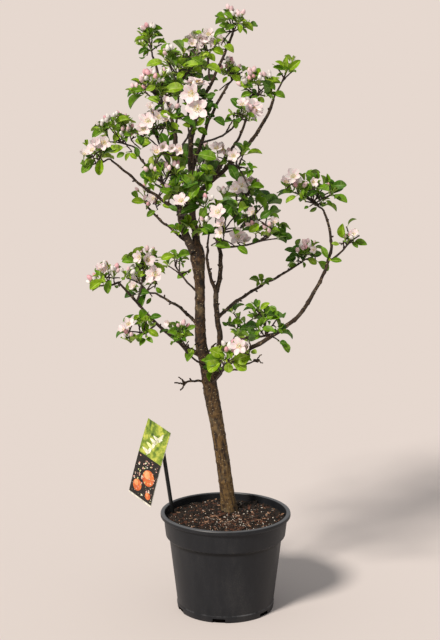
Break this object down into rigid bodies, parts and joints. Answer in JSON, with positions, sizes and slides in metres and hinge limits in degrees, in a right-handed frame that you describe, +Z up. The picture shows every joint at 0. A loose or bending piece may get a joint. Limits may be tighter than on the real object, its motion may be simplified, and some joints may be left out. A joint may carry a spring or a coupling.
{
  "type": "dwarf apple tree in a pot",
  "caption": "Small grafted fruit tree in spring blossom, with a leaning trunk and open boughs, in a round plastic nursery pot of compost with a plant label.",
  "frame": {"origin": "middle of the pot's flat underside", "axes": "+Z up along the tree; the pictured side faces -Y, with +X to its right"},
  "size_m": [0.5986, 0.4283, 1.2758],
  "materials": {
    "pot": "moulded, matt",
    "compost": "loose, crumbly",
    "label": "printed, satin",
    "stick": "moulded",
    "bark": "rough bark",
    "foliage": "satin leaf"
  },
  "bodies": {
    "root": {"pot": "pot", "soil": "compost", "label_card": "label", "label_stick": "stick", "trunk": "bark", "second_stem": "bark", "second_stem_fork": "bark", "left_leader": "bark", "right_leader": "bark", "top_bough": "bark", "right_inner_bough": "bark", "left_top_bough": "bark", "right_upper_arm": "bark", "right_upper_twin": "bark", "right_lower_arm": "bark", "right_lower_riser": "bark", "right_middle_bough": "bark", "right_front_bough": "bark", "left_lower_arm": "bark", "left_middle_bough": "bark", "left_fork_bough": "bark", "left_long_arm": "bark", "left_back_arm": "bark", "bare_spur": "bark", "foliage_top": "foliage", "foliage_top_left": "foliage", "foliage_top_blossom": "foliage", "foliage_upper_front": "foliage", "foliage_upper_back": "foliage", "foliage_upper_right": "foliage", "foliage_right_tuft": "foliage", "foliage_right_tip": "foliage", "foliage_left_crown": "foliage", "foliage_front_blossom": "foliage", "foliage_left_blossom": "foliage", "foliage_far_left_back": "foliage", "foliage_far_left": "foliage", "foliage_right_inner": "foliage", "foliage_centre_front": "foliage", "foliage_centre_left": "foliage", "foliage_centre_back": "foliage", "foliage_right_centre": "foliage", "foliage_blossom_front": "foliage", "foliage_blossom_high": "foliage", "foliage_blossom_right": "foliage", "foliage_blossom_back": "foliage", "foliage_riser_top": "foliage", "foliage_riser_side": "foliage", "foliage_right_middle": "foliage", "foliage_right_low": "foliage", "foliage_right_low_back": "foliage", "foliage_front_low": "foliage", "foliage_left_tip": "foliage", "foliage_left_arm_top": "foliage", "foliage_left_middle": "foliage", "foliage_left_inner": "foliage", "foliage_left_low": "foliage", "foliage_left_low_inner": "foliage", "foliage_left_fork": "foliage"}
  },
  "joints": []
}
